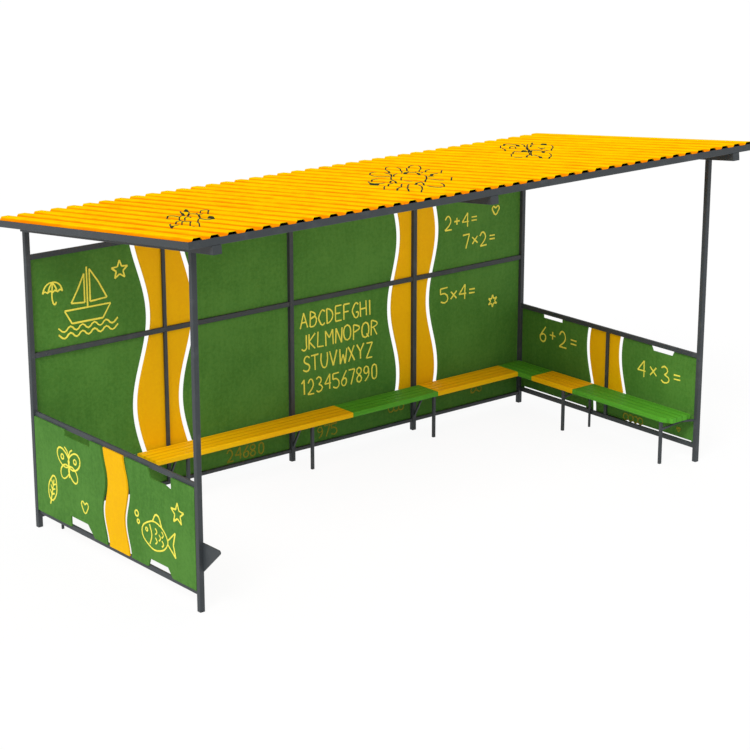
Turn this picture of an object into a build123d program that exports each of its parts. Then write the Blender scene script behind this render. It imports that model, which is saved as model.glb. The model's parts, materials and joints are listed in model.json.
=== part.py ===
from build123d import *
import math
import os

# A play-yard pavilion: square steel posts, a one-way sloping roof of trapezoid sheet,
# boarded back and end walls with wavy stripes, and a bench along the back and the right end.
# Millimetres. x runs along the open front, y from the open front to the back wall, z up.

# Plan of the frame
bay_length = 4930.0
bay_depth = 2110.0
front_overhang = 270.0
back_overhang = 30.0
middle_post_along = 2390.0
right_post_along = 3690.0
mullion_along = 1175.0

# Roof
front_edge_height = 2668.0
back_edge_height = 2400.0
sheet_waves = 39
sheet_pitch = 137.5
sheet_height = 20.0
sheet_gauge = 1.5
crest_flat = 55.0
crest_base = 80.0
purlin_height = 50.0
purlin_width = 25.0
rafter_height = 60.0
rafter_width = 70.0
middle_purlins = 2

# Posts and wall bars
post_size = 40.0
post_corner = 5.0
bar_corner = 3.0
bar_depth = 20.0
mullion_width = 30.0
back_bottom_rail = 75.0
back_bottom_rail_height = 30.0
back_middle_rail = 1312.0
back_top_rail = 2055.0
back_rail_height = 40.0
end_bottom_rail = 112.0
end_top_rail = 875.0
end_rail_height = 40.0
end_mullion_from_front = 1030.0

# Boards of the walls
board_thickness = 12.0
board_setback = 2.0
board_gap = 5.0
board_lap = 12.0
end_board_lap = 6.0
skirt_slot = 8.0
skirt_tab = 30.0

# Wavy stripes: width, gap to the green boards, swing, length of one wave and height of a crest
back_stripe_width = 380.0
back_stripe_gap = 45.0
left_stripe_swing = 72.0
left_stripe_wave = 1450.0
left_stripe_crest = 1475.0
right_stripe_swing = 50.0
right_stripe_wave = 1180.0
right_stripe_crest = 1704.0
left_end_stripe_from_front = 1000.0
left_end_stripe_width = 250.0
left_end_stripe_gap = 35.0
left_end_stripe_swing = 25.0
left_end_stripe_wave = 500.0
left_end_stripe_crest = 890.0
right_end_stripe_from_front = 1032.0
right_end_stripe_width = 338.0
right_end_stripe_gap = 42.0
right_end_stripe_swing = 50.0
right_end_stripe_wave = 1140.0
right_end_stripe_crest = 720.0

# Bench
seat_height = 400.0
seat_thickness = 40.0
seat_depth = 260.0
seat_wall_gap = 30.0
seat_edge_round = 6.0
seat_grooves = 4
groove_width = 4.0
groove_depth = 3.0
seat_joint = 1.0
bench_start_along = 870.0
green_seat_start_along = 2800.0
green_seat_end_along = 3720.0
corner_seat_from_front = 1650.0
side_seat_from_front = 1150.0
bench_end_from_front = 45.0
seat_nose_length = 100.0
seat_nose_width = 50.0

# Bench legs and arms
leg_size = 25.0
leg_corner = 3.0
leg_inset = 8.0
thin_leg_size = 18.0
arm_size = 16.0
arm_corner = 2.0
bearer_inset = 110.0
side_bearer_inset = 200.0
bearer_end_inset = 60.0
side_bearer_end_inset = 5.0
arm_bend = 60.0
arm_foot_height = 135.0
arm_rise_run = 120.0
side_arm_foot_height = 290.0
side_arm_rise_run = 150.0
arm_end_from_front = 8.0
side_leg_from_front = 1275.0
end_leg_from_front = 145.0
side_wall_leg_from_front = 1200.0
left_wall_foot_from_back = 152.0
left_wall_foot_along = 110.0

# Gusset on the front left post
gusset_reach = 225.0
gusset_drop = 210.0
gusset_top = 500.0
gusset_thickness = 8.0
gusset_tip_radius = 16.0

# Lines worked out from the driving sizes
half_length = bay_length / 2
roof_length = sheet_waves * sheet_pitch
roof_run = front_overhang + bay_depth + back_overhang
roof_angle = math.atan2(front_edge_height - back_edge_height, roof_run)
slope_length = roof_run / math.cos(roof_angle)
roof_stack = sheet_height + purlin_height + rafter_height
lean = roof_stack * math.sin(roof_angle)
front_edge_y = (lean - roof_run) / 2
front_post_y = front_edge_y + front_overhang
back_post_y = front_post_y + bay_depth

roof_plane = Plane(
    origin=(0, front_edge_y, front_edge_height),
    x_dir=(1, 0, 0),
    z_dir=(0, math.sin(roof_angle), math.cos(roof_angle)),
)
rafter_underside = roof_plane.offset(-roof_stack)

# The boards lie flush with the posts' outer faces, with the bars against them on the inside
board_inner = post_size / 2 - board_setback - board_thickness
bar_centre = board_inner - bar_depth / 2
bar_inner = board_inner - bar_depth
post_face = post_size / 2

middle_post_x = middle_post_along - half_length
right_post_x = right_post_along - half_length
mullion_x = mullion_along - half_length
back_bar_y = back_post_y + bar_centre

seat_underside = seat_height - seat_thickness
seat_back_y = back_post_y - seat_wall_gap
seat_front_y = seat_back_y - seat_depth
side_seat_outer_x = half_length - seat_wall_gap
side_seat_inner_x = side_seat_outer_x - seat_depth
bench_leg_y = seat_front_y + leg_inset + leg_size / 2
bench_leg_x = side_seat_inner_x + leg_inset + leg_size / 2


def along(distance):
    """x of a point measured along the front from the left posts."""
    return distance - half_length


def from_front(distance):
    """y of a point measured from the front posts."""
    return front_post_y + distance


def finish(piece, label):
    """Name a finished piece and write it."""
    piece.part.label = label
    export_step(piece.part, f"parts/{label}.step")


def eased(width, height, corner):
    """The section of a small bar: a rectangle with its corners taken off."""
    with BuildSketch(Plane.XY) as section:
        Rectangle(width, height)
        chamfer(section.vertices(), length=corner)
    return section.sketch


os.makedirs("parts", exist_ok=True)


# Posts

def roof_post(x, y):
    """A square tube from the floor up to the underside of a rafter."""
    with BuildPart() as post:
        with BuildSketch(Plane.XY):
            with Locations((x, y)):
                RectangleRounded(post_size, post_size, post_corner)
        extrude(amount=front_edge_height)
        split(bisect_by=rafter_underside, keep=Keep.BOTTOM)
    return post


finish(roof_post(-half_length, front_post_y), "front_left_post")
finish(roof_post(half_length, front_post_y), "front_right_post")
finish(roof_post(-half_length, back_post_y), "back_left_post")
finish(roof_post(half_length, back_post_y), "back_right_post")
finish(roof_post(middle_post_x, back_post_y), "back_middle_post")

with BuildPart() as back_inner_post:
    with BuildSketch(Plane.XY):
        with Locations((right_post_x, back_post_y)):
            RectangleRounded(post_size, post_size, post_corner)
    extrude(amount=back_top_rail)
finish(back_inner_post, "back_inner_post")


# Bars of the walls

def bar_along_x(spans, low, high, y):
    """Level bars in one line between the given pairs of x."""
    with BuildPart() as bar:
        for start, end in spans:
            with BuildSketch(Plane.YZ.offset(start)):
                with Locations((y, (low + high) / 2)):
                    add(eased(bar_depth, high - low, bar_corner))
            extrude(amount=end - start)
    return bar


def bar_along_y(x, low, high):
    """A level bar of an end wall between its front and back posts."""
    start = front_post_y + post_face
    with BuildPart() as bar:
        with BuildSketch(Plane.XZ.offset(-start)):
            with Locations((x, (low + high) / 2)):
                add(eased(bar_depth, high - low, bar_corner))
        extrude(amount=post_size - bay_depth)
    return bar


def upright(x, y, size_x, size_y, spans):
    """Upright bars in one line between the given pairs of heights."""
    with BuildPart() as bar:
        for low, high in spans:
            with BuildSketch(Plane.XY.offset(low)):
                with Locations((x, y)):
                    add(eased(size_x, size_y, bar_corner))
            extrude(amount=high - low)
    return bar


left_bay = (-half_length + post_face, middle_post_x - post_face)
inner_bay = (middle_post_x + post_face, right_post_x - post_face)
right_bay = (right_post_x + post_face, half_length - post_face)
top_right_bay = (inner_bay[0], right_bay[1])
all_bays = [left_bay, inner_bay, right_bay]

bottom_rail_top = back_bottom_rail + back_bottom_rail_height
middle_rail_top = back_middle_rail + back_rail_height
top_rail_top = back_top_rail + back_rail_height
end_bottom_rail_top = end_bottom_rail + end_rail_height
end_top_rail_top = end_top_rail + end_rail_height
end_mullion_y = from_front(end_mullion_from_front)
end_bar_x = half_length + bar_centre

finish(bar_along_x(all_bays, back_bottom_rail, bottom_rail_top, back_bar_y), "back_bottom_rail")
finish(bar_along_x(all_bays, back_middle_rail, middle_rail_top, back_bar_y), "back_middle_rail")
finish(bar_along_x([left_bay, top_right_bay], back_top_rail, top_rail_top, back_bar_y), "back_top_rail")

mullion_spans = [(bottom_rail_top, back_middle_rail), (middle_rail_top, back_top_rail)]
finish(upright(mullion_x, back_bar_y, mullion_width, bar_depth, mullion_spans), "back_mullion")

left_foot_x = along(left_wall_foot_along)
left_foot_y = back_post_y - left_wall_foot_from_back
with BuildPart() as left_end_bottom_rail:
    add(bar_along_y(-end_bar_x, end_bottom_rail, end_bottom_rail_top).part)
    with BuildSketch(Plane.XY):
        with Locations((left_foot_x, left_foot_y)):
            add(eased(thin_leg_size, thin_leg_size, leg_corner))
    extrude(amount=end_bottom_rail_top)
    with BuildSketch(Plane.YZ.offset(-end_bar_x)):
        with Locations((left_foot_y, end_bottom_rail_top - thin_leg_size / 2)):
            add(eased(thin_leg_size, thin_leg_size, leg_corner))
    extrude(amount=left_foot_x + end_bar_x)
finish(left_end_bottom_rail, "left_end_bottom_rail")
finish(bar_along_y(end_bar_x, end_bottom_rail, end_bottom_rail_top), "right_end_bottom_rail")

for side, sign in (("left", -1), ("right", 1)):
    finish(bar_along_y(sign * end_bar_x, end_top_rail, end_top_rail_top), f"{side}_end_top_rail")
    end_mullion = upright(
        sign * end_bar_x, end_mullion_y, bar_depth, mullion_width, [(end_bottom_rail_top, end_top_rail)]
    )
    finish(end_mullion, f"{side}_end_mullion")


# Boards of the back wall: two rows, with edges that follow the stripes

def wave_points(middle, swing, wave, crest, low, high):
    """Points of a wavy upright edge, eight to a wave."""
    count = math.ceil(8 * (high - low) / wave)
    heights = [low + (high - low) * step / count for step in range(count + 1)]
    return [(middle + swing * math.cos(2 * math.pi * (z - crest) / wave), z) for z in heights]


def upright_edge(position, low, high, swing=0.0, wave=1.0, crest=0.0):
    """A straight or wavy edge of a board, from its foot to its top."""
    if swing == 0.0:
        return Line((position, low), (position, high))
    return Spline(*wave_points(position, swing, wave, crest, low, high))


left_stripe = (left_stripe_swing, left_stripe_wave, left_stripe_crest)
right_stripe = (right_stripe_swing, right_stripe_wave, right_stripe_crest)
straight = ()

row_joint = (back_middle_rail + middle_rail_top) / 2
skirt_joint = seat_height - seat_thickness / 2
skirt_top = skirt_joint - board_gap / 2
above_skirt = skirt_joint + board_gap / 2
rows = [
    (above_skirt, row_joint - board_gap / 2),
    (row_joint + board_gap / 2, back_top_rail + board_lap),
]
skirt_row = (bottom_rail_top - board_lap, skirt_top)


def back_boards(pieces):
    """Boards of the back wall; each gives its foot and top, then its left and right edge as position and wave."""
    with BuildPart() as boards:
        for (low, high), ((left, left_wave), (right, right_wave)) in pieces:
            with BuildSketch(Plane.XZ.offset(-back_post_y - board_inner)):
                with BuildLine():
                    left_edge = upright_edge(left, low, high, *left_wave)
                    right_edge = upright_edge(right, low, high, *right_wave)
                    Line(left_edge @ 0, right_edge @ 0)
                    Line(left_edge @ 1, right_edge @ 1)
                make_face()
            extrude(amount=-board_thickness)
    return boards


def in_rows(*columns):
    """The boards of both rows above the bench."""
    return [(row, column) for row in rows for column in columns]


def skirt(bay):
    """The plain board below the bench between two posts."""
    start, end = bay
    return (skirt_row, ((start + board_gap, straight), (end - board_gap, straight)))


half_stripe = back_stripe_width / 2
half_cut = half_stripe + back_stripe_gap
clear_of_post = post_face + board_gap

column_1 = ((-half_length + clear_of_post, straight), (mullion_x - half_cut, left_stripe))
column_2 = ((mullion_x + half_cut, left_stripe), (middle_post_x - clear_of_post, straight))
column_3 = ((middle_post_x + clear_of_post, straight), (right_post_x - half_cut, right_stripe))
column_4 = ((right_post_x + half_cut, right_stripe), (half_length - clear_of_post, straight))

finish(back_boards([*in_rows(column_1), skirt(left_bay)]), "back_board_1")
finish(back_boards(in_rows(column_2)), "back_board_2")
finish(back_boards([*in_rows(column_3), skirt(inner_bay)]), "back_board_3")
finish(back_boards([*in_rows(column_4), skirt(right_bay)]), "back_board_4")

left_stripe_column = ((mullion_x - half_stripe, left_stripe), (mullion_x + half_stripe, left_stripe))
right_stripe_columns = [
    ((right_post_x - half_stripe, right_stripe), (right_post_x - clear_of_post, straight)),
    ((right_post_x + clear_of_post, straight), (right_post_x + half_stripe, right_stripe)),
]
finish(back_boards(in_rows(left_stripe_column)), "back_left_stripe")
finish(back_boards(in_rows(*right_stripe_columns)), "back_right_stripe")


# Boards of the end walls, with hand holes cut in their long edges. The right wall has a skirt below the bench.

end_board_low = end_bottom_rail_top - end_board_lap
end_board_high = end_top_rail + end_board_lap
end_board_back = bay_depth - clear_of_post
full_height = (end_board_low, end_board_high)
upper_end_row = (above_skirt, end_board_high)
lower_end_row = (end_board_low, skirt_top)


def notch_outline(row, at_top, front, back, depth, front_lean=0, back_lean=0, nib_reach=0, nib_depth=0):
    """Corners of a hand hole: its ends from the front posts, its depth, how far each end leans in, and its nib."""
    low, high = row
    edge, inward = (high, -1) if at_top else (low, 1)
    floor = edge + inward * depth
    corners = [(front, edge), (back, edge), (back - back_lean, floor)]
    if nib_reach:
        corners.append((front + front_lean + nib_reach, floor))
    corners.append((front + front_lean, floor + inward * nib_depth))
    return [(from_front(distance), z) for distance, z in corners]


def end_board(sign, row, front, front_wave, back, back_wave, notches=()):
    """A board of an end wall between two edges measured from the front posts."""
    with BuildPart() as board:
        with BuildSketch(Plane.YZ.offset(sign * (half_length + board_inner))):
            with BuildLine():
                front_edge = upright_edge(from_front(front), *row, *front_wave)
                back_edge = upright_edge(from_front(back), *row, *back_wave)
                Line(front_edge @ 0, back_edge @ 0)
                Line(front_edge @ 1, back_edge @ 1)
            make_face()
            for notch in notches:
                with BuildLine():
                    Polyline(*notch_outline(row, *notch), close=True)
                make_face(mode=Mode.SUBTRACT)
        extrude(amount=sign * board_thickness)
    return board


ends = {
    "left": dict(
        sign=-1,
        row=full_height,
        middle=left_end_stripe_from_front,
        width=left_end_stripe_width,
        gap=left_end_stripe_gap,
        wave=(left_end_stripe_swing, left_end_stripe_wave, left_end_stripe_crest),
        front_notches=[(True, 300, 588, 71, 0, 32, 83, 22), (False, 308, 609, 65, 55, 24)],
        back_notches=[(True, 1325, 1663, 47, 0, 0, 46, 6), (False, 1300, 1620, 84, 88, 0)],
    ),
    "right": dict(
        sign=1,
        row=upper_end_row,
        middle=right_end_stripe_from_front,
        width=right_end_stripe_width,
        gap=right_end_stripe_gap,
        wave=(right_end_stripe_swing, right_end_stripe_wave, right_end_stripe_crest),
        front_notches=[(True, 278, 548, 55, 24, 28)],
        back_notches=[(True, 1588, 1828, 45, 0, 4)],
    ),
}

slot_depth = end_board_lap + skirt_slot

for side, end in ends.items():
    sign, row, wave = end["sign"], end["row"], end["wave"]
    stripe_front = end["middle"] - end["width"] / 2
    stripe_back = end["middle"] + end["width"] / 2
    front_cut = stripe_front - end["gap"]
    back_cut = stripe_back + end["gap"]
    with BuildPart() as front_board:
        add(end_board(sign, row, clear_of_post, straight, front_cut, wave, end["front_notches"]).part)
        if side == "right":
            slot = (False, clear_of_post + skirt_tab, front_cut, slot_depth)
            add(end_board(sign, lower_end_row, clear_of_post, straight, stripe_back, wave, [slot]).part)
    with BuildPart() as back_board:
        add(end_board(sign, row, back_cut, wave, end_board_back, straight, end["back_notches"]).part)
        if side == "right":
            slot = (False, back_cut + skirt_tab, end_board_back - skirt_tab, slot_depth)
            add(end_board(sign, lower_end_row, back_cut, wave, end_board_back, straight, [slot]).part)
    finish(front_board, f"{side}_end_front_board")
    finish(back_board, f"{side}_end_back_board")
    finish(end_board(sign, row, stripe_front, wave, stripe_back, wave), f"{side}_end_stripe")


# Roof frame: rafters from front to back, purlins along the roof, and a tube at each end

def rafter(x):
    """A tube under the purlins from the front edge to the back edge."""
    with BuildPart() as tube:
        with BuildSketch(Plane(roof_plane.origin, x_dir=(1, 0, 0), z_dir=roof_plane.y_dir)):
            with Locations((x, sheet_height + purlin_height + rafter_height / 2)):
                RectangleRounded(rafter_width, rafter_height, bar_corner)
        extrude(amount=slope_length)
    return tube


def purlins(half_reach, distances):
    """Tubes along the roof, at distances down the slope to their near sides."""
    with BuildPart() as tubes:
        for distance in distances:
            with BuildSketch(Plane(roof_plane.origin, x_dir=roof_plane.y_dir, z_dir=(1, 0, 0)).offset(-half_reach)):
                with Locations((distance + purlin_width / 2, -sheet_height - purlin_height / 2)):
                    add(eased(purlin_width, purlin_height, bar_corner))
            extrude(amount=2 * half_reach)
    return tubes


finish(rafter(-half_length), "left_rafter")
finish(rafter(middle_post_x), "middle_rafter")
finish(rafter(half_length), "right_rafter")

last_purlin = slope_length - purlin_width
purlin_step = last_purlin / (middle_purlins + 1)
middle_distances = [purlin_step * number for number in range(1, middle_purlins + 1)]

finish(purlins(roof_length / 2, [0]), "front_purlin")
finish(purlins(roof_length / 2, [last_purlin]), "back_purlin")
finish(purlins(roof_length / 2 - purlin_width, middle_distances), "middle_purlins")

with BuildPart() as roof_end_tubes:
    for end_x in (-roof_length / 2 + purlin_width / 2, roof_length / 2 - purlin_width / 2):
        end_face = Plane(roof_plane.origin, x_dir=(1, 0, 0), z_dir=roof_plane.y_dir).offset(purlin_width)
        with BuildSketch(end_face):
            with Locations((end_x, sheet_height + purlin_height / 2)):
                add(eased(purlin_width, purlin_height, bar_corner))
        extrude(amount=slope_length - 2 * purlin_width)
finish(roof_end_tubes, "roof_end_tubes")


# Roof sheet: one profile of flat-topped waves, drawn out down the slope

def sheet_line(level):
    """The line of one face of the sheet, from the left edge to the right, below the crests by level."""
    points = [(-roof_length / 2, -sheet_height + sheet_gauge - level)]
    for number in range(sheet_waves):
        crest = -roof_length / 2 + (number + 0.5) * sheet_pitch
        points += [
            (crest - crest_base / 2, -sheet_height + sheet_gauge - level),
            (crest - crest_flat / 2, -level),
            (crest + crest_flat / 2, -level),
            (crest + crest_base / 2, -sheet_height + sheet_gauge - level),
        ]
    points.append((roof_length / 2, -sheet_height + sheet_gauge - level))
    return points


with BuildPart() as roof_sheet:
    with BuildSketch(Plane(roof_plane.origin, x_dir=(1, 0, 0), z_dir=-roof_plane.y_dir)):
        with BuildLine():
            Polyline(*sheet_line(0), *reversed(sheet_line(sheet_gauge)), close=True)
        make_face()
    extrude(amount=-slope_length)
finish(roof_sheet, "roof_sheet")


# Bench seats: grooved planks with eased edges

def plank(plane, length):
    """A grooved plank drawn out from a plane whose x runs from its front edge to the wall."""
    with BuildPart() as board:
        with BuildSketch(plane):
            with Locations((seat_depth / 2, seat_height - seat_thickness / 2)):
                RectangleRounded(seat_depth, seat_thickness, seat_edge_round)
            for number in range(1, seat_grooves + 1):
                with Locations((seat_depth * number / (seat_grooves + 1), seat_height - groove_depth / 2)):
                    Rectangle(groove_width, groove_depth, mode=Mode.SUBTRACT)
        extrude(amount=length)
    return board


def back_seat(start, end):
    """A plank of the back bench between two distances from the left posts."""
    plane = Plane(origin=(along(start) + seat_joint / 2, seat_front_y, 0), x_dir=(0, 1, 0), z_dir=(1, 0, 0))
    return plank(plane, end - start - seat_joint)


def side_seat(start, end):
    """A plank of the side bench between two distances from the front posts, drawn towards the front."""
    plane = Plane(origin=(side_seat_inner_x, from_front(end) - seat_joint / 2, 0), x_dir=(1, 0, 0), z_dir=(0, -1, 0))
    return plank(plane, end - start - seat_joint)


corner_seat_start = side_seat_inner_x + half_length
corner_seat_back = seat_back_y - front_post_y

finish(back_seat(bench_start_along, green_seat_start_along), "back_seat_left")
finish(back_seat(green_seat_start_along, green_seat_end_along), "back_seat_middle")
finish(back_seat(green_seat_end_along, corner_seat_start), "back_seat_right")
finish(side_seat(corner_seat_from_front, corner_seat_back), "corner_seat")
finish(side_seat(side_seat_from_front, corner_seat_from_front), "side_seat")

nose_y = from_front(bench_end_from_front) + seat_joint / 2
with BuildPart() as end_seat:
    add(side_seat(bench_end_from_front, side_seat_from_front).part)
    with BuildSketch(Plane.XY.offset(seat_underside)):
        with BuildLine():
            Polyline(
                (side_seat_inner_x, nose_y),
                (side_seat_inner_x + seat_nose_width, nose_y),
                (side_seat_inner_x, nose_y + seat_nose_length),
                close=True,
            )
        make_face()
    extrude(amount=seat_thickness, mode=Mode.SUBTRACT)
finish(end_seat, "end_seat")


# Bench legs, each welded to a bent arm that carries the seat

back_bearer_y = seat_front_y + bearer_inset
side_bearer_x = side_seat_inner_x + side_bearer_inset
bearer_level = seat_underside - arm_size / 2
back_bearer_start = along(bench_start_along) + bearer_end_inset
back_bearer_end = side_bearer_x - arm_size / 2
side_bearer_start = from_front(bench_end_from_front) + side_bearer_end_inset
side_bearer_end = back_bearer_y + arm_size / 2


def back_support(x, wall_face):
    """A leg under the seat's front edge, with an arm that rises from the wall and runs level to it."""
    wall_y = back_post_y - wall_face
    slope = (bearer_level - arm_foot_height) / arm_rise_run
    with BuildPart() as support:
        with BuildLine() as path:
            FilletPolyline(
                (x, wall_y + arm_size, arm_foot_height - slope * arm_size),
                (x, wall_y - arm_rise_run, bearer_level),
                (x, bench_leg_y, bearer_level),
                radius=arm_bend,
            )
        with BuildSketch(Plane(origin=path.line @ 0, x_dir=(1, 0, 0), z_dir=path.line % 0)):
            add(eased(arm_size, arm_size, arm_corner))
        sweep()
        split(bisect_by=Plane.XZ.offset(-wall_y), keep=Keep.TOP)
        with BuildSketch(Plane.XY):
            with Locations((x, bench_leg_y)):
                add(eased(leg_size, leg_size, leg_corner))
        extrude(amount=seat_underside)
    return support


with BuildPart() as back_bench_supports:
    add(back_support(mullion_x, -bar_inner).part)
    add(back_support(middle_post_x, post_face).part)
    add(back_support(right_post_x, post_face).part)
    with BuildSketch(Plane.YZ.offset(back_bearer_start)):
        with Locations((back_bearer_y, bearer_level)):
            add(eased(arm_size, arm_size, arm_corner))
    extrude(amount=back_bearer_end - back_bearer_start)
finish(back_bench_supports, "back_bench_supports")


def side_support(leg_y, wall_x, wall_y):
    """A leg under the side seat's inner edge, with an arm that rises from it and runs level to the wall."""
    bend = side_arm_rise_run / (wall_x - bench_leg_x)
    with BuildPart() as support:
        with BuildLine() as path:
            FilletPolyline(
                (bench_leg_x, leg_y, side_arm_foot_height),
                (bench_leg_x + side_arm_rise_run, leg_y + (wall_y - leg_y) * bend, bearer_level),
                (wall_x, wall_y, bearer_level),
                radius=arm_bend,
            )
        level = (path.line % 0).cross(Vector(0, 0, 1))
        with BuildSketch(Plane(origin=path.line @ 0, x_dir=level, z_dir=path.line % 0)):
            add(eased(arm_size, arm_size, arm_corner))
        sweep()
        with BuildSketch(Plane.XY):
            with Locations((bench_leg_x, leg_y)):
                add(eased(leg_size, leg_size, leg_corner))
        extrude(amount=seat_underside)
    return support


with BuildPart() as end_support:
    add(side_support(from_front(end_leg_from_front), half_length, from_front(arm_end_from_front)).part)
    split(bisect_by=Plane.YZ.offset(half_length - post_face), keep=Keep.BOTTOM)

wall_leg_x = half_length + bar_inner - thin_leg_size / 2
wall_leg_y = from_front(side_wall_leg_from_front)
with BuildPart() as side_bench_supports:
    add(end_support.part)
    add(side_support(from_front(side_leg_from_front), wall_leg_x, wall_leg_y).part)
    with BuildSketch(Plane.XY):
        with Locations((wall_leg_x, wall_leg_y)):
            add(eased(thin_leg_size, thin_leg_size, leg_corner))
    extrude(amount=seat_underside)
    with BuildSketch(Plane.XZ.offset(-side_bearer_start)):
        with Locations((side_bearer_x, bearer_level)):
            add(eased(arm_size, arm_size, arm_corner))
    extrude(amount=side_bearer_start - side_bearer_end)
finish(side_bench_supports, "side_bench_supports")


# Gusset in front of the front left post, flush with its inner face

gusset_y = front_post_y - post_face
with BuildPart() as post_gusset:
    with BuildSketch(Plane.YZ.offset(-half_length + post_face - gusset_thickness)) as gusset_outline:
        with BuildLine():
            Polyline(
                (gusset_y, gusset_top),
                (gusset_y - gusset_reach, gusset_top),
                (gusset_y, gusset_top - gusset_drop),
                close=True,
            )
        make_face()
        fillet(gusset_outline.vertices().sort_by(Axis.X)[0], radius=gusset_tip_radius)
    extrude(amount=gusset_thickness)
finish(post_gusset, "post_gusset")
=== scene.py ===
import json
import math
import random

import bmesh
import bpy
from mathutils import Matrix, Vector
from mathutils.bvhtree import BVHTree


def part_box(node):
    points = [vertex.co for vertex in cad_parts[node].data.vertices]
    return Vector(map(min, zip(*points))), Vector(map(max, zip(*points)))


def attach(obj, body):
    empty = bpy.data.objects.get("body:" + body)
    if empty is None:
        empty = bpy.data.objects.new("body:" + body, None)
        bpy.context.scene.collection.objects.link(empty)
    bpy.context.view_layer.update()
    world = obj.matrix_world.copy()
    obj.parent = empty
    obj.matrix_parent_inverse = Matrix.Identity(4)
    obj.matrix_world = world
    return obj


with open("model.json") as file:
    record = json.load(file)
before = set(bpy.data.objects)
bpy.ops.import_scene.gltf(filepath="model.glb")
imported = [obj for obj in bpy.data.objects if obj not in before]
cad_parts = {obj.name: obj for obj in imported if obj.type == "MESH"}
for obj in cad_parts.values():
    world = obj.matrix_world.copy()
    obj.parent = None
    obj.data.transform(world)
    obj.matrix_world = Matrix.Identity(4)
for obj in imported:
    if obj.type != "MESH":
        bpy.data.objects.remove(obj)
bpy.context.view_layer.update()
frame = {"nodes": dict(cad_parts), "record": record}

# A play-yard pavilion's looks: paint, coated sheet, powder coat, grained planks, chalk drawings,
# foam fillers and screws. Metres, in the frame of the solids.

nodes = frame["nodes"]
RANDOM_SEED = 12
random.seed(RANDOM_SEED)

# Camera, at the photograph's viewing angle
CAMERA_PLACE = (-10.0794, -12.0203, 5.6833)
CAMERA_YAW = math.radians(39.4983)
CAMERA_PITCH = math.radians(16.6511)
CAMERA_FOCAL_PIXELS = 2130.77
PHOTO_PIXELS = 750
SENSOR = 36.0
CAMERA_REACH = 400.0

# Light
SKY_LEVEL = 0.70
SUN_LEVEL = 2.0
SUN_FROM = (-0.95, -0.50, 1.05)
SUN_SOFTNESS = math.radians(24)
SHADE_LAMP_LEVEL = 17.0
SHADE_LAMP_SIZE = (4.4, 1.7)
SHADE_LAMP_PLACE = (0, -0.1, 2.24)
FLOOR_WHITE = 0.70
FLOOR_GLOW = 0.90
FLOOR_GLOW_LEVEL = 1.03
FLOOR_RADIUS = 90.0
FLOOR_SIDES = 96
FLOOR_DROP = 0.0005

# Long grooves in the seat planks, darkened with painted shade
GROOVE_PITCH = 0.065
GROOVE_WIDTH = 0.011

# The band below the roof's top in which the sheet's colour goes from the painted shade of the troughs to
# the crest colour
CREST_STARTS = 0.014
CREST_ENDS = 0.0005

# Colours, as linear values
GREEN_PAINT = (0.088, 0.238, 0.039)
GREEN_PAINT_DEEP = (0.056, 0.174, 0.024)
YELLOW_PAINT = (0.89, 0.500, 0.001)
YELLOW_PAINT_DEEP = (0.85, 0.445, 0.001)
ROOF_CREST = (0.90, 0.60, 0.001)
# The trough colour is painted shade, for the troughs lying in the shade of the crests
ROOF_TROUGH_SHADE = (0.84, 0.22, 0.001)
SEAT_GREEN = (0.092, 0.370, 0.030)
SEAT_GREEN_DARK = (0.074, 0.310, 0.020)
SEAT_YELLOW = (0.90, 0.530, 0.001)
SEAT_YELLOW_DARK = (0.86, 0.455, 0.001)
COAT_GREY = (0.041, 0.048, 0.053)
COAT_GREY_WORN = (0.074, 0.083, 0.089)
CHALK = (0.96, 0.86, 0.12)
CHALK_THIN = (0.78, 0.70, 0.08)
# Chalk in painted shade: darker copies of the chalk colours, for the drawings low down under the seats
CHALK_IN_BENCH_SHADE = (0.34, 0.30, 0.03)
CHALK_THIN_IN_BENCH_SHADE = (0.16, 0.20, 0.02)
ROOF_LINE = (0.020, 0.022, 0.010)
# The foam colour is a dark filler's own colour and also painted shade for the hollows under the crests
FOAM_AND_CREST_SHADE = (0.042, 0.048, 0.034)

# Shares of a colour where foam is dull, where a groove holds painted shade, or where roof ink is rubbed
FOAM_SHADE = 0.72
GROOVE_SHADE = 0.80
RUBBED_INK = 3.0


class Link:
    """A node's output. Arithmetic on it adds Math nodes."""

    def __init__(self, finish, socket):
        self.finish = finish
        self.socket = socket

    def math(self, operation, *terms):
        """A Math node's output, from this output alone where no terms are given."""
        terms = terms or (self,)
        return self.finish.node("ShaderNodeMath", {"operation": operation}, dict(enumerate(terms)))

    def __add__(self, other):
        return self.math("ADD", self, other)

    def __sub__(self, other):
        return self.math("SUBTRACT", self, other)

    def __mul__(self, other):
        return self.math("MULTIPLY", self, other)

    def __truediv__(self, other):
        return self.math("DIVIDE", self, other)

    __radd__ = __add__


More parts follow.
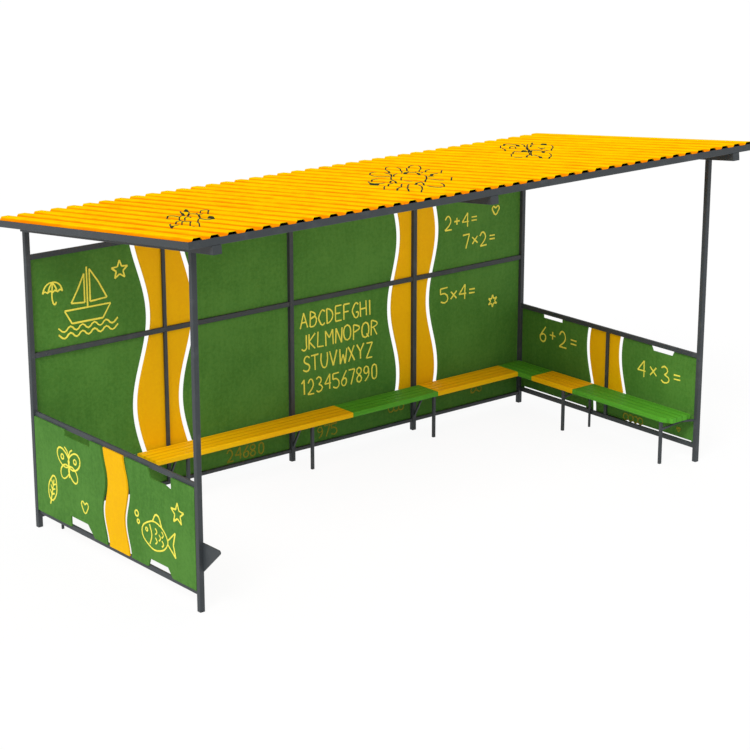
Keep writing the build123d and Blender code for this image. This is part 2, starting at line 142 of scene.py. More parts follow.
class Finish:
    """One material: a shader and the nodes that feed it."""

    def __init__(self, name, **constants):
        self.material = bpy.data.materials.new(name)
        self.material.use_nodes = True
        self.tree = self.material.node_tree
        self.shader = self.tree.nodes["Principled BSDF"]
        for socket, value in constants.items():
            self.shader.inputs[socket.replace("_", " ")].default_value = value
        self.place = self.node("ShaderNodeTexCoord", output="Object")

    def node(self, kind, settings=None, sockets=None, output=0):
        """A new node with its settings, and with a link or a value at each socket named."""
        made = self.tree.nodes.new(kind)
        for name, value in (settings or {}).items():
            setattr(made, name, value)
        for name, value in (sockets or {}).items():
            if isinstance(value, Link):
                self.tree.links.new(value.socket, made.inputs[name])
            else:
                made.inputs[name].default_value = value
        return Link(self, made.outputs[output])

    def feed(self, socket, link):
        """Links an output to a socket of the shader."""
        self.tree.links.new(link.socket, self.shader.inputs[socket])

    def stretched(self, x, y, z):
        """The place on the object, scaled along each axis."""
        sockets = {0: self.place, 1: (x, y, z)}
        return self.node("ShaderNodeVectorMath", {"operation": "MULTIPLY"}, sockets)

    def noise(self, scale, detail=3.0, roughness=0.55, place=None, distortion=0.0):
        """Soft noise between 0 and 1, at the place on the object or a stretched one."""
        sockets = {
            "Vector": place or self.place,
            "Scale": scale,
            "Detail": detail,
            "Roughness": roughness,
            "Distortion": distortion,
        }
        return self.node("ShaderNodeTexNoise", sockets=sockets)

    def between(self, value, low, high):
        """0 below low, 1 above high, and a smooth step between."""
        sockets = {"Value": value, "From Min": low, "From Max": high}
        return self.node("ShaderNodeMapRange", {"interpolation_type": "SMOOTHSTEP"}, sockets)

    def mixed(self, share, first, second):
        """A colour between two colours."""
        colours = [c if isinstance(c, Link) else (*c, 1.0) for c in (first, second)]
        sockets = {0: share, 6: colours[0], 7: colours[1]}
        return self.node("ShaderNodeMix", {"data_type": "RGBA"}, sockets, output=2)

    def bump(self, height, distance):
        """Small relief in the shader's normal."""
        sockets = {"Height": height, "Distance": distance, "Strength": 1.0}
        self.feed("Normal", self.node("ShaderNodeBump", sockets=sockets))

    def along(self, axis):
        """The place along one axis, as a number."""
        return self.node("ShaderNodeSeparateXYZ", sockets={0: self.place}, output="XYZ".index(axis))


def painted_board(name, paint, deep):
    """Satin paint rolled on board, with a cloudy tone and a fine stipple."""
    finish = Finish(name, Specular_IOR_Level=0.08)
    clouds = finish.noise(1.8, detail=4.0, roughness=0.6)
    blotches = finish.noise(38.0, detail=4.0, roughness=0.7)
    streaks = finish.noise(1.0, detail=4.0, place=finish.stretched(26.0, 26.0, 1.7))
    tone = finish.between(clouds * 0.40 + blotches * 0.44 + streaks * 0.16, 0.37, 0.62)
    stipple = finish.noise(260.0, detail=2.0)
    finish.feed("Base Color", finish.mixed(tone, deep, paint))
    finish.feed("Roughness", 0.50 + blotches * 0.16 + stipple * 0.06)
    finish.bump(stipple * 0.6 + streaks * 0.4, 0.0006)
    return finish.material


def coated_steel(name):
    """Dark grey powder coat with its orange peel, rubbed lighter in patches."""
    finish = Finish(name, Specular_IOR_Level=0.25)
    peel = finish.noise(420.0, detail=1.0)
    rubbed = finish.between(finish.noise(7.0, detail=6.0, roughness=0.7), 0.50, 0.72)
    finish.feed("Base Color", finish.mixed(rubbed * 0.6, COAT_GREY, COAT_GREY_WORN))
    finish.feed("Roughness", 0.40 + rubbed * 0.14 + peel * 0.08)
    finish.bump(peel, 0.0004)
    return finish.material


def coated_sheet(name):
    """Golden coated sheet, with painted shade making it deeper and more orange in the troughs, and faint
    streaks down the slope.
    """
    finish = Finish(name, Specular_IOR_Level=0.0)
    height = finish.along("Z") + finish.along("Y") * ROOF_FALL
    # Painted shade: below the crests the colour goes over to the darker trough colour
    crest = finish.between(height, ROOF_LEVEL - CREST_STARTS, ROOF_LEVEL - CREST_ENDS)
    streaks = finish.noise(1.0, detail=5.0, roughness=0.65, place=finish.stretched(95.0, 3.0, 3.0))
    patches = finish.noise(9.0, detail=4.0)
    share = finish.between(crest * 0.55 + streaks * 1.30 + patches * 0.35, 0.62, 1.62)
    finish.feed("Base Color", finish.mixed(share, ROOF_TROUGH_SHADE, ROOF_CREST))
    finish.feed("Roughness", 0.34 + streaks * 0.18)
    finish.bump(finish.noise(300.0, detail=2.0) * 0.4 + streaks * 0.6, 0.0005)
    return finish.material


def grained_plank(name, paint, dark, along_x, edge):
    """Painted plank with its grain and long shallow grooves showing through the paint, with painted shade
    in the grooves.
    """
    finish = Finish(name, Specular_IOR_Level=0.10)
    place = finish.stretched(1.1, 30.0, 30.0) if along_x else finish.stretched(30.0, 1.1, 30.0)
    figure = finish.noise(1.0, detail=6.0, roughness=0.6, place=place, distortion=0.6)
    pores = finish.noise(9.0, detail=3.0, place=place)
    clouds = finish.noise(4.0, detail=4.0)
    across = (finish.along("Y" if along_x else "X") - edge) / GROOVE_PITCH
    from_groove = (across.math("FRACT") - 0.5).math("ABSOLUTE")
    groove = finish.between(from_groove, 0.0, GROOVE_WIDTH / GROOVE_PITCH)
    tone = finish.between(figure * 0.55 + pores * 0.18 + clouds * 0.27, 0.36, 0.62)
    # Painted shade: the middle of each groove takes a darker copy of the plank's dark colour
    deep = tuple(GROOVE_SHADE * c for c in dark)
    finish.feed("Base Color", finish.mixed(groove, deep, finish.mixed(tone, dark, paint)))
    finish.feed("Roughness", 0.46 + figure * 0.22)
    finish.bump(figure * 0.3 + pores * 0.2 + groove * 0.5, 0.003)
    return finish.material


def chalk_paint(name, full, thin):
    """A hand-drawn line, broken up where the brush or chalk skipped."""
    finish = Finish(name, Roughness=0.75, Specular_IOR_Level=0.05)
    skips = finish.noise(150.0, detail=4.0, roughness=0.7)
    drift = finish.noise(18.0, detail=2.0)
    cover = finish.between(skips * 0.7 + drift * 0.3, 0.36, 0.56)
    finish.feed("Base Color", finish.mixed(cover, thin, full))
    finish.bump(skips, 0.0008)
    return finish.material


def soft_foam(name):
    """Dark foam, dulled unevenly. Its dark colour is also painted shade for the hollows under the sheet's
    crests.
    """
    finish = Finish(name)
    dull = finish.noise(90.0, detail=4.0)
    finish.feed("Base Color", finish.mixed(dull, tuple(FOAM_SHADE * c for c in FOAM_AND_CREST_SHADE), FOAM_AND_CREST_SHADE))
    finish.feed("Roughness", 0.7 + dull * 0.2)
    return finish.material


# The roof's plane, from the heights of its sheet at the front and back edges
EDGE_REACH = 0.01
sheet_low, sheet_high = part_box("roof_sheet")
sheet_mesh = nodes["roof_sheet"].data
front_heights = [v.co.z for v in sheet_mesh.vertices if v.co.y < sheet_low.y + EDGE_REACH]
back_heights = [v.co.z for v in sheet_mesh.vertices if v.co.y > sheet_high.y - EDGE_REACH]
front_low = min(front_heights)
front_top = max(front_heights)
ROOF_FALL = (front_low - min(back_heights)) / (sheet_high.y - sheet_low.y)
ROOF_LEVEL = front_top + sheet_low.y * ROOF_FALL
roof_angle = math.atan(ROOF_FALL)
roof_normal = Vector((0, math.sin(roof_angle), math.cos(roof_angle)))
roof_uphill = Vector((0, -math.cos(roof_angle), math.sin(roof_angle)))

steel = coated_steel("dark_powder_coat")
sheet_coat = coated_sheet("golden_sheet_coat")
green_board = painted_board("green_board_paint", GREEN_PAINT, GREEN_PAINT_DEEP)
yellow_board = painted_board("yellow_board_paint", YELLOW_PAINT, YELLOW_PAINT_DEEP)
chalk = chalk_paint("chalk_yellow", CHALK, CHALK_THIN)
# Chalk darkened as painted shade, for the drawings under the seats
bench_shade_chalk = chalk_paint("chalk_painted_bench_shade", CHALK_IN_BENCH_SHADE, CHALK_THIN_IN_BENCH_SHADE)
roof_ink = chalk_paint("roof_line_paint", ROOF_LINE, tuple(RUBBED_INK * c for c in ROOF_LINE))
foam = soft_foam("dark_foam_and_crest_shade")

BACK_SEATS = ("back_seat_left", "back_seat_middle", "back_seat_right")
SEAT_PAINTS = {
    "yellow_seat": (SEAT_YELLOW, SEAT_YELLOW_DARK),
    "green_seat": (SEAT_GREEN, SEAT_GREEN_DARK),
}
seat_edges = {"back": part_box("back_seat_left")[0].y, "side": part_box("end_seat")[0].x}
planks = {}
for slot, (paint, dark) in SEAT_PAINTS.items():
    for along_x in (True, False):
        run = "back" if along_x else "side"
        name = f"{slot}_{run}_plank"
        planks[slot, along_x] = grained_plank(name, paint, dark, along_x, seat_edges[run])

FINISHES = {
    "frame_steel": steel,
    "roof_sheet": sheet_coat,
    "green_board": green_board,
    "yellow_board": yellow_board,
}

for row in frame["record"]["subparts"]:
    node, slot = row["node"], row["material_slot"]
    finish = FINISHES.get(slot) or planks[slot, node in BACK_SEATS]
    mesh = nodes[node].data
    mesh.materials.clear()
    mesh.materials.append(finish)


# Lines drawn on the walls. A stroke is (points, smooth, closed). A character's points are in
# cells of a small grid, the first digit to the right and the second one up.

GLYPHS = {
    "A": "00 38 60|13 53", "B": "00 08|~08 37 46 35 04|~04 45 52 30 00", "C": "~57 38 16 04 12 30 51",
    "D": "00 08|~08 37 54 31 00", "E": "58 08 00 50|04 44", "F": "58 08 00|04 44",
    "G": "~57 38 16 04 12 30 51 53|33 53", "H": "00 08|58 50|04 54", "I": "10 18", "J": "~48 43 41 20 01",
    "K": "00 08|58 04 50", "L": "08 00 50", "M": "00 08 34 68 60", "N": "00 08 50 58", "O": "@38 64 30 04",
    "P": "00 08|~08 47 56 45 04", "Q": "@38 64 30 04|42 60", "R": "00 08|~08 47 56 45 04|24 50",
    "S": "~57 38 17 15 34 53 51 30 01", "T": "08 68|38 30", "U": "~08 03 30 53 58", "V": "08 30 68",
    "W": "08 10 35 50 68", "X": "00 58|08 50", "Y": "08 34 68|34 30", "Z": "08 58 00 50",
    "0": "@38 54 30 14", "1": "06 28 20", "2": "~06 28 46 44 00|00 50", "3": "~07 28 46 24|~24 52 20 01",
    "4": "40 48 03 53", "5": "58 08 05|~05 35 52 30 01", "6": "~48 14 02 20 42 34 03", "7": "08 58 20",
    "8": "~24 06 28 46 24 02 20 42 24", "9": "@28 46 24 06|~46 43 10", "+": "04 44|26 22",
    "x": "02 46|06 42", "=": "03 43|05 45",
}
GLYPH_HEIGHT = 8
GLYPH_LEAST_WIDTH = 3
LETTER_LIFT = 0.35
LETTER_TURN = 0.05
RING_KNOTS = 8
STAR_WAIST = 0.42
LEAF_TURN = -0.3


def strokes_of(text):
    """Strokes written as grid points: ~ starts a smooth one and @ a smooth closed one."""
    strokes = []
    for part in text.split("|"):
        smooth, closed = part[0] in "~@", part[0] == "@"
        points = [(int(pair[0]), int(pair[1])) for pair in part.strip("~@").split()]
        strokes.append((points, smooth, closed))
    return strokes


def moved(strokes, x, y, size, turn=0.0):
    """Strokes turned, scaled and put at a place."""
    cos, sin = math.cos(turn) * size, math.sin(turn) * size
    return [
        ([(x + u * cos - v * sin, y + u * sin + v * cos) for u, v in points], smooth, closed)
        for points, smooth, closed in strokes
    ]


def written(text, x, y, height, spacing=1.5, narrow=1.0):
    """A line of characters from the left, each a little uneven as by hand."""
    strokes, cell = [], height / GLYPH_HEIGHT
    for letter in text:
        drawn = strokes_of(GLYPHS[letter])
        glyph = [([(narrow * u, v) for u, v in points], *kind) for points, *kind in drawn]
        lift = random.uniform(-LETTER_LIFT, LETTER_LIFT) * cell
        turn = random.uniform(-LETTER_TURN, LETTER_TURN)
        strokes += moved(glyph, x, y + lift, cell, turn)
        wide = max(u for points, smooth, closed in glyph for u, v in points)
        x += (max(wide, narrow * GLYPH_LEAST_WIDTH) + spacing) * cell
    return strokes


def ring(x, y, radius):
    """A hand-drawn closed round."""
    angles = [2 * math.pi * step / RING_KNOTS for step in range(RING_KNOTS)]
    return ([(x + radius * math.cos(a), y + radius * math.sin(a)) for a in angles], True, True)


def ring_row(x, y, radius, count):
    """A row of touching rings."""
    return [ring(x + 2 * radius * number, y, radius) for number in range(count)]


def star(x, y, radius, points=5):
    """A pointed star in one closed line."""
    corners = []
    for step in range(2 * points):
        reach = radius if step % 2 == 0 else STAR_WAIST * radius
        angle = math.pi / 2 + math.pi * step / points
        corners.append((x + reach * math.cos(angle), y + reach * math.sin(angle)))
    return [(corners, False, True)]


def heart(x, y, size):
    """A heart in one closed line."""
    right = [(0, 0.35), (0.35, 0.62), (0.62, 0.35), (0.42, -0.1), (0, -0.55)]
    left = [(-u, v) for u, v in reversed(right[1:-1])]
    return moved([(right + left, True, True)], x, y, size)


def boat(x, y, size):
    """A sailing boat on two waves."""
    hull = ([(-1.0, -0.2), (-0.7, -0.72), (0.65, -0.72), (1.0, -0.2)], False, True)
    mast = ([(0, -0.2), (0, 1.35)], False, False)
    sail = ([(0.12, 1.25), (0.5, 0.7), (0.85, 0.05), (0.12, 0.0)], False, True)
    jib = ([(-0.12, 1.1), (-0.4, 0.55), (-0.7, 0.05), (-0.12, 0.0)], False, True)
    waves = [
        ([(-1.3 + 0.26 * k, level + 0.09 * (-1) ** k) for k in range(11)], True, False)
        for level in (-0.9, -1.15)
    ]
    return moved([hull, mast, sail, jib, *waves], x, y, size)


def fish(x, y, size):
    """A fish with scales and bubbles."""
    back = [(-1.0, 0), (-0.5, 0.5), (0.15, 0.58), (0.8, 0.1)]
    belly = [(0.8, -0.1), (0.15, -0.55), (-0.5, -0.5)]
    body = (back + belly, True, True)
    tail = ([(0.82, 0.08), (1.35, 0.55), (1.2, 0.0), (1.35, -0.5), (0.82, -0.08)], False, False)
    fin = ([(-0.25, 0.58), (0.1, 0.95), (0.42, 0.5)], True, False)
    gill = ([(-0.45, 0.42), (-0.3, 0.0), (-0.45, -0.42)], True, False)
    scales = [
        ([(column, row + 0.13), (column + 0.12, row), (column, row - 0.13)], True, False)
        for column, row in ((-0.05, 0.22), (-0.05, -0.18), (0.2, 0.02), (0.4, 0.2), (0.4, -0.18))
    ]
    bubbles = [ring(-1.25, 0.3, 0.08), ring(-1.35, 0.62, 0.12)]
    return moved([body, tail, fin, gill, ring(-0.66, 0.14, 0.07), *scales, *bubbles], x, y, size)


def butterfly(x, y, size):
    """A butterfly seen from above."""
    strokes = [([(0, -0.5), (0.04, 0), (0, 0.5)], True, False)]
    for side in (-1, 1):
        upper_wing = [(0, 0.1), (side * 0.35, 0.75), (side * 0.95, 0.7), (side * 0.75, 0.1)]
        lower_wing = [(0, 0.0), (side * 0.62, -0.1), (side * 0.65, -0.6), (side * 0.2, -0.5)]
        strokes.append((upper_wing, True, True))
        strokes.append((lower_wing, True, True))
        strokes.append(([(0, 0.5), (side * 0.12, 0.8), (side * 0.34, 0.95)], True, False))
        strokes.append(ring(side * 0.55, 0.42, 0.12))
    return moved(strokes, x, y, size)


def leaf(x, y, size):
    """A leaf with its rib and veins."""
    outline = ([(0, -1.0), (0.5, -0.35), (0.42, 0.45), (0, 1.0), (-0.42, 0.45), (-0.5, -0.35)], True, True)
    rib = ([(0, -1.35), (0, 0.7)], False, False)
    veins = [
        ([(0, v), (side * 0.3, v + 0.25)], False, False)
        for v in (-0.55, -0.15, 0.25)
        for side in (-1, 1)
    ]
    return moved([outline, rib, *veins], x, y, size, turn=LEAF_TURN)


def umbrella(x, y, size):
    """An open umbrella with a hooked handle."""
    dome = ([(-1, 0), (-0.7, 0.62), (0, 0.9), (0.7, 0.62), (1, 0)], True, False)
    hem = ([(-1 + 0.25 * k, 0.16 * (k % 2)) for k in range(9)], True, False)
    ribs = [([(0, 0.9), (side * 0.3, 0.45), (side * 0.45, 0.05)], True, False) for side in (-1, 1)]
    handle = ([(0, 0.9), (0, -0.9), (0.18, -1.1), (0.34, -0.9)], True, False)
    return moved([dome, hem, *ribs, handle], x, y, size)


def daisy(x, y, size, petals):
    """A round flower head with looped petals and a spiral heart."""
    strokes = [ring(0, 0, 0.42)]
    for number in range(petals):
        a = 2 * math.pi * number / petals
        petal = [(0.45, -0.08), (0.8, -0.17), (1.0, 0.0), (0.8, 0.17), (0.45, 0.08)]
        strokes += moved([(petal, True, False)], 0, 0, 1.0, turn=a)
    turns = [(0.05 * k * math.cos(0.9 * k), 0.05 * k * math.sin(0.9 * k)) for k in range(7)]
    strokes.append((turns, True, False))
    return moved(strokes, x, y, size)


LINE_PROFILE = 2
LEAST_STEPS = 2
UNEVEN_WIDTH = (0.82, 1.14)


def placed(name, data):
    """A new object with this data, in the scene."""
    thing = bpy.data.objects.new(name, data)
    bpy.context.scene.collection.objects.link(thing)
    return thing


def line_mesh(name, strokes, width, thickness, step):
    """Strokes as rounded painted lines lying flat: u to the right, v up, and out along z.

    A sharp stroke is drawn as one straight line for each of its sides.
    """
    curve = bpy.data.curves.new(name, "CURVE")
    curve.dimensions = "3D"
    curve.bevel_depth = width / 2
    curve.bevel_resolution = LINE_PROFILE
    curve.use_fill_caps = True
    runs = []
    for points, smooth, closed in strokes:
        if smooth:
            runs.append((points, True, closed))
        else:
            ends = points[1:] + points[:1] if closed else points[1:]
            runs += [(pair, False, False) for pair in zip(points, ends)]
    for points, smooth, closed in runs:
        spline = curve.splines.new("BEZIER")
        spline.bezier_points.add(len(points) - 1)
        longest = 0.0
        previous = points[-1] if closed else points[0]
        for knot, (u, v) in zip(spline.bezier_points, points):
            knot.co = (u, v, 0)
            knot.radius = random.uniform(*UNEVEN_WIDTH)
            knot.handle_left_type = "AUTO" if smooth else "VECTOR"
            knot.handle_right_type = knot.handle_left_type
            longest = max(longest, math.dist((u, v), previous))
            previous = (u, v)
        spline.use_cyclic_u = closed
        spline.resolution_u = max(LEAST_STEPS, math.ceil(longest / step)) if smooth else LEAST_STEPS
    holder = placed(name, curve)
    bpy.context.view_layer.update()
    drawn = holder.evaluated_get(bpy.context.evaluated_depsgraph_get())
    mesh = bpy.data.meshes.new_from_object(drawn)
    bpy.data.objects.remove(holder)
    mesh.transform(Matrix.Diagonal((1, 1, thickness / width, 1)))
    mesh.name = name
    return mesh


def add_piece(name, mesh, material, smooth=True):
    """A new visible piece on the body, with its finish and slot."""
    mesh.materials.clear()
    mesh.materials.append(material)
    for polygon in mesh.polygons:
        polygon.use_smooth = smooth
        polygon.material_index = 0
    piece = placed(name, mesh)
    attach(piece, "root")
    return piece


def mesh_of(name, shape):
    """The finished mesh of a shape that was edited."""
    mesh = bpy.data.meshes.new(name)
    shape.to_mesh(mesh)
    shape.free()
    return mesh


def wall_frame(origin, right, out):
    """The turn and place of a drawing on an upright face."""
    up = Vector((0, 0, 1))
    turn = Matrix((right, up, out)).transposed().to_4x4()
    return Matrix.Translation(origin) @ turn


LINE_WIDTH = 0.0135
LINE_THICKNESS = 0.0016
LINE_STEP = 0.03
HALF_POST = 0.02


def draw_on_wall(name, strokes, origin, right, out, finish=chalk):
    """Strokes in metres on an upright face, from its origin to the right and up."""
    mesh = line_mesh(name, strokes, LINE_WIDTH, LINE_THICKNESS, LINE_STEP)
    mesh.transform(wall_frame(origin, right, out))
    return add_piece(name, mesh, finish)


back_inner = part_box("back_board_1")[0].y
left_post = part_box("front_left_post")[0].x + HALF_POST
front_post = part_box("front_left_post")[0].y + HALF_POST
left_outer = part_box("left_end_front_board")[0].x
right_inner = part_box("right_end_front_board")[0].x

# Back wall, measured from the left posts and the floor
LETTER_HEIGHT = 0.128
LETTERS_LEFT = 2.49
LETTERS_LEVEL = 1.100
ROW_DROP = 0.185
ROW_SHIFT = 0.012

back_wall = []
back_wall += boat(0.50, 1.66, 0.20)
back_wall += star(0.79, 1.86, 0.075)
back_wall += umbrella(0.205, 1.78, 0.085)
for row, text in enumerate(("ABCDEFGHI", "JKLMNOPQR", "STUVWXYZ")):
    left, level = LETTERS_LEFT + ROW_SHIFT * row, LETTERS_LEVEL - ROW_DROP * row
    back_wall += written(text, left, level, LETTER_HEIGHT, spacing=1.6, narrow=0.78)
back_wall += written("1234567890", 2.50, 0.535, LETTER_HEIGHT, spacing=1.5, narrow=0.80)
back_wall += written("2+4=", 4.04, 1.695, 0.120, spacing=2.0)
back_wall += written("7x2=", 4.25, 1.500, 0.120, spacing=2.0)
back_wall += heart(4.62, 1.785, 0.065)
back_wall += written("5x4=", 4.00, 1.055, 0.130, spacing=1.9)
back_wall += star(4.60, 0.985, 0.055, points=6)
back_place = ((left_post, back_inner, 0), Vector((1, 0, 0)), Vector((0, -1, 0)))
draw_on_wall("back_wall_drawings", back_wall, *back_place)

# The drawings under the bench take the chalk colours darkened as painted shade
under_bench = written("24680", 1.74, 0.125, 0.10) + written("975", 2.66, 0.135, 0.095)
under_bench += ring_row(3.45, 0.23, 0.028, 3) + butterfly(4.42, 0.245, 0.085)
draw_on_wall("back_wall_drawings_in_painted_shade", under_bench, *back_place, bench_shade_chalk)

# End walls, measured from the front posts towards the back; u runs to the viewer's right
END_SUM_HEIGHT = 0.140

towards_front = Vector((0, -1, 0))
left_end = []
left_end += butterfly(-1.62, 0.60, 0.155)
left_end += leaf(-1.86, 0.38, 0.105)
left_end += heart(-1.42, 0.345, 0.075)
left_end += fish(-0.50, 0.395, 0.175)
left_end += star(-0.23, 0.64, 0.080)
left_place = ((left_outer, front_post, 0), towards_front, Vector((-1, 0, 0)))
draw_on_wall("left_end_drawings", left_end, *left_place)

right_place = ((right_inner, front_post, 0), towards_front, Vector((-1, 0, 0)))
right_end = written("6+2=", -1.86, 0.625, END_SUM_HEIGHT, spacing=2.9)
right_end += written("4x3=", -0.68, 0.580, END_SUM_HEIGHT, spacing=3.1)
draw_on_wall("right_end_drawings", right_end, *right_place)
# Drawings low on the right end wall, in the same painted shade under the seat
right_low_drawings = ring_row(-0.80, 0.185, 0.028, 4) + heart(-0.20, 0.22, 0.03)
draw_on_wall("right_end_drawings_in_painted_shade", right_low_drawings, *right_place, bench_shade_chalk)

# Roof drawings: dark lines laid over the waves of the sheet, drawn long and slantwise
ROOF_LINE_PROUD = 0.0008
ROOF_LINE_STEP = 0.1
RAY_LIFT = 0.1
ROOF_ACROSS = Vector((0.323, -0.946))
ROOF_ALONG = Vector((0.643, 0.766))

sheet_tree = BVHTree.FromPolygons(
    [v.co.copy() for v in sheet_mesh.vertices], [tuple(p.vertices) for p in sheet_mesh.polygons]
)
sheet_folds = sorted({round(v.co.x, 4) for v in sheet_mesh.vertices})


def draw_on_roof(name, strokes, middle, across, along, width):
    """Strokes about one unit large, draped on the sheet round a middle.

    The middle is measured from the left posts' line and from the front edge down the slope.
    """
    shape = bmesh.new()
    shape.from_mesh(line_mesh(name, strokes, width, width, ROOF_LINE_STEP))
    for vertex in shape.verts:
        spot = Vector(middle) + vertex.co.x * across * ROOF_ACROSS + vertex.co.y * along * ROOF_ALONG
        vertex.co = (left_post + spot.x, spot.y, vertex.co.z * 2 / width)
    low, high = min(v.co.x for v in shape.verts), max(v.co.x for v in shape.verts)
    for fold in sheet_folds:
        if low < fold < high:
            everything = shape.verts[:] + shape.edges[:] + shape.faces[:]
            bmesh.ops.bisect_plane(shape, geom=everything, plane_co=(fold, 0, 0), plane_no=(1, 0, 0))
    for vertex in shape.verts:
        x, down, rise = vertex.co
        start = Vector((x, sheet_low.y, front_top)) - roof_uphill * down + roof_normal * RAY_LIFT
        place, normal, face, distance = sheet_tree.ray_cast(start, -roof_normal)
        vertex.co = place + normal * (ROOF_LINE_PROUD * rise)
    return add_piece(name, mesh_of(name, shape), roof_ink, smooth=False)


draw_on_roof("roof_drawing_left", daisy(0, 0, 1.0, 6), (0.40, 0.88), 0.21, 0.48, 0.060)
draw_on_roof("roof_drawing_middle", daisy(0, 0, 1.0, 9), (2.49, 1.05), 0.37, 0.86, 0.036)
draw_on_roof("roof_drawing_right", butterfly(0, 0, 1.0), (4.05, 1.40), 0.24, 0.72, 0.050)

# Dark foam filler under the waves of the sheet, along the front and back purlins, its darkness also
# painted shade under the crests
FILLER_THICKNESS = 0.006
FILLER_SET_BACK = 0.018
FILLER_PLAY = 0.0003
FILLER_END = 0.002
FILLER_RAY_DROP = 0.002


def wave_filler(name, y):
    """A strip cut to the waves: their outline under the sheet, drawn down to the purlin."""
    foot = ROOF_LEVEL - ROOF_FALL * y - (front_top - front_low) + FILLER_PLAY
    shape = bmesh.new()
    corners = []
    for fold in sheet_folds:
        x = min(max(fold, sheet_low.x + FILLER_END), sheet_high.x - FILLER_END)
        start = Vector((x, y, foot - FILLER_RAY_DROP))
        place, normal, face, distance = sheet_tree.ray_cast(start, Vector((0, 0, 1)))
        corners.append(shape.verts.new((x, y, max(place.z - FILLER_PLAY, foot + FILLER_PLAY))))
    edges = [shape.edges.new(pair) for pair in zip(corners, corners[1:])]
    drawn = bmesh.ops.extrude_edge_only(shape, edges=edges)["geom"]
    for vertex in (piece for piece in drawn if isinstance(piece, bmesh.types.BMVert)):
        vertex.co.z = foot
    bmesh.ops.solidify(shape, geom=shape.faces[:], thickness=FILLER_THICKNESS)
    bmesh.ops.recalc_face_normals(shape, faces=shape.faces[:])
    return add_piece(name, mesh_of(name, shape), foam, smooth=False)


front_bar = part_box("front_purlin")
back_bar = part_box("back_purlin")
wave_filler("front_wave_filler", front_bar[0].y + FILLER_SET_BACK)
wave_filler("back_wave_filler", back_bar[1].y - FILLER_SET_BACK)


# Screws: coated hex heads on washers in the troughs of the sheet, and painted pan heads on the rails

WASHER = {"radius": 0.008, "tall": 0.002, "sides": 14, "taper": 0.9}
HEX_HEAD = {"radius": 0.005, "tall": 0.0045, "sides": 6, "taper": 1.0}
PAN_HEAD = {"radius": 0.0055, "tall": 0.0028, "sides": 12, "taper": 0.7}
SHEET_WAVES = 39
WAVES_TO_A_SCREW = 2
PURLIN_BAYS = 3
BACK_RAILS = ("back_bottom_rail", "back_middle_rail", "back_top_rail")
BACK_SCREWS_ALONG = (0.12, 0.62, 1.36, 1.90, 2.28, 2.62, 3.14, 3.60, 3.84, 4.30, 4.80)
END_SCREWS_FROM_FRONT = (0.10, 0.55, 0.92, 1.20, 1.55, 2.00)


def heads(name, spots, finish, slot, radius, tall, sides, taper):
    """Screw heads or washers, each a short cone standing on its spot."""
    shape = bmesh.new()
    for place, normal in spots:
        turn = normal.to_track_quat("Z", "Y").to_matrix().to_4x4()
        middle = Matrix.Translation(place + normal * tall / 2) @ turn
        bmesh.ops.create_cone(
            shape,
            cap_ends=True,
            segments=sides,
            radius1=radius,
            radius2=radius * taper,
            depth=tall,
            matrix=middle,
        )
    return add_piece(name, mesh_of(name, shape), finish, smooth=False)


wave = (sheet_high.x - sheet_low.x) / SHEET_WAVES
purlin_ys = [(low.y + high.y) / 2 for low, high in (front_bar, back_bar)]
purlin_span = purlin_ys[1] - purlin_ys[0]
purlin_ys += [purlin_ys[0] + purlin_span * step / PURLIN_BAYS for step in range(1, PURLIN_BAYS)]
washer_spots = []
for y in purlin_ys:
    for number in range(1, SHEET_WAVES, WAVES_TO_A_SCREW):
        hits = []
        for x in (sheet_low.x + wave * number, sheet_low.x + wave * (number + 0.5)):
            start = Vector((x, y, sheet_high.z + RAY_LIFT))
            place, normal, face, distance = sheet_tree.ray_cast(start, Vector((0, 0, -1)))
            hits.append(place)
        washer_spots.append((min(hits, key=lambda hit: hit.z), roof_normal))
hex_spots = [(place + normal * WASHER["tall"], normal) for place, normal in washer_spots]
heads("roof_screw_washers", washer_spots, sheet_coat, "roof_sheet", **WASHER)
heads("roof_screw_heads", hex_spots, sheet_coat, "roof_sheet", **HEX_HEAD)

rail_spots = []
for rail in BACK_RAILS:
    low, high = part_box(rail)
    for along_wall in BACK_SCREWS_ALONG:
        spot = Vector((left_post + along_wall, low.y, (low.z + high.z) / 2))
        rail_spots.append((spot, Vector((0, -1, 0))))
# The left end's bottom rail has a foot in its box, so both ends take the levels of the right end's rails
for side, sign in (("left", 1), ("right", -1)):
    top_low, top_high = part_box(f"{side}_end_top_rail")
    face = top_high.x if sign > 0 else top_low.x
    for rail in ("top", "bottom"):
        low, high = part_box(f"right_end_{rail}_rail")
        for from_front in END_SCREWS_FROM_FRONT:
            spot = Vector((face, front_post + from_front, (low.z + high.z) / 2))
            rail_spots.append((spot, Vector((sign, 0, 0))))
heads("rail_screw_heads", rail_spots, steel, "frame_steel", **PAN_HEAD)


# Camera, light and floor

forward = Vector((
    math.sin(CAMERA_YAW) * math.cos(CAMERA_PITCH),
    math.cos(CAMERA_YAW) * math.cos(CAMERA_PITCH),
    -math.sin(CAMERA_PITCH),
))
camera_data = bpy.data.cameras.new("camera")
camera_data.sensor_width = SENSOR
camera_data.lens = SENSOR * CAMERA_FOCAL_PIXELS / PHOTO_PIXELS
camera_data.clip_end = CAMERA_REACH
camera = placed("camera", camera_data)
camera.location = CAMERA_PLACE
camera.rotation_mode = "QUATERNION"
camera.rotation_quaternion = forward.to_track_quat("-Z", "Y")
bpy.context.scene.camera = camera

sun_data = bpy.data.lights.new("sun", "SUN")
sun_data.energy = SUN_LEVEL
sun_data.angle = SUN_SOFTNESS
sun = placed("sun", sun_data)
sun.rotation_mode = "QUATERNION"
sun.rotation_quaternion = (-Vector(SUN_FROM)).to_track_quat("-Z", "Y")

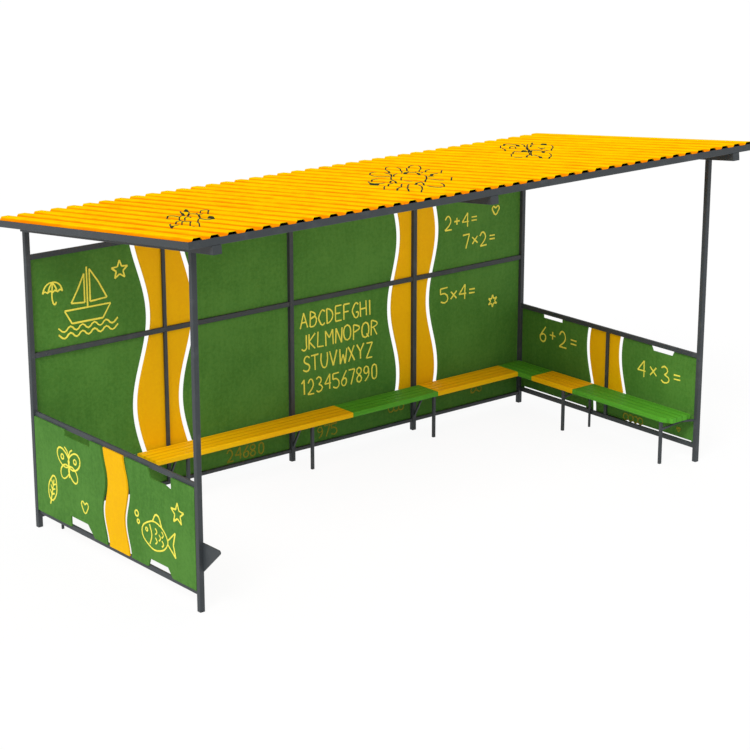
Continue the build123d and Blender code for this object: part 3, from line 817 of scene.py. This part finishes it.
shade_lamp_data = bpy.data.lights.new("shade_lamp", "AREA")
shade_lamp_data.shape = "RECTANGLE"
shade_lamp_data.size, shade_lamp_data.size_y = SHADE_LAMP_SIZE
shade_lamp_data.energy = SHADE_LAMP_LEVEL
shade_lamp = placed("shade_lamp", shade_lamp_data)
shade_lamp.location = SHADE_LAMP_PLACE
shade_lamp.visible_camera = False
shade_lamp.visible_glossy = False


def seen_rays(tree):
    """1 where the camera looks straight, in a gloss or through glass."""
    rays = tree.nodes.new("ShaderNodeLightPath")
    seen = rays.outputs["Is Camera Ray"]
    for kind in ("Is Glossy Ray", "Is Transmission Ray"):
        either = tree.nodes.new("ShaderNodeMath")
        either.operation = "MAXIMUM"
        tree.links.new(seen, either.inputs[0])
        tree.links.new(rays.outputs[kind], either.inputs[1])
        seen = either.outputs[0]
    return seen


def floor_paint(name):
    """White that glows where it is seen, mixed with plain white that keeps the object's shadow."""
    paint = bpy.data.materials.new(name)
    paint.use_nodes = True
    tree = paint.node_tree
    tree.nodes.clear()
    matt = tree.nodes.new("ShaderNodeBsdfDiffuse")
    matt.inputs["Color"].default_value = (FLOOR_WHITE, FLOOR_WHITE, FLOOR_WHITE, 1)
    glow = tree.nodes.new("ShaderNodeEmission")
    glow.inputs["Strength"].default_value = FLOOR_GLOW_LEVEL
    share = tree.nodes.new("ShaderNodeMath")
    share.operation = "MULTIPLY"
    share.inputs[1].default_value = FLOOR_GLOW
    both = tree.nodes.new("ShaderNodeMixShader")
    out = tree.nodes.new("ShaderNodeOutputMaterial")
    tree.links.new(seen_rays(tree), share.inputs[0])
    tree.links.new(share.outputs[0], both.inputs[0])
    tree.links.new(matt.outputs[0], both.inputs[1])
    tree.links.new(glow.outputs[0], both.inputs[2])
    tree.links.new(both.outputs[0], out.inputs["Surface"])
    return paint


world = bpy.data.worlds.new("studio")
world.use_nodes = True
bpy.context.scene.world = world
sky = world.node_tree
background = sky.nodes["Background"]
background.inputs["Color"].default_value = (1, 1, 1, 1)
level = sky.nodes.new("ShaderNodeMapRange")
level.inputs["To Min"].default_value = SKY_LEVEL
level.inputs["To Max"].default_value = 1.0
sky.links.new(seen_rays(sky), level.inputs["Value"])
sky.links.new(level.outputs[0], background.inputs["Strength"])

shape = bmesh.new()
bmesh.ops.create_circle(shape, cap_ends=True, radius=FLOOR_RADIUS, segments=FLOOR_SIDES)
floor_mesh = mesh_of("floor", shape)
floor = placed("floor", floor_mesh)
floor.location.z = -FLOOR_DROP
floor_mesh.materials.append(floor_paint("floor_white"))

bpy.context.scene.view_settings.view_transform = "Standard"
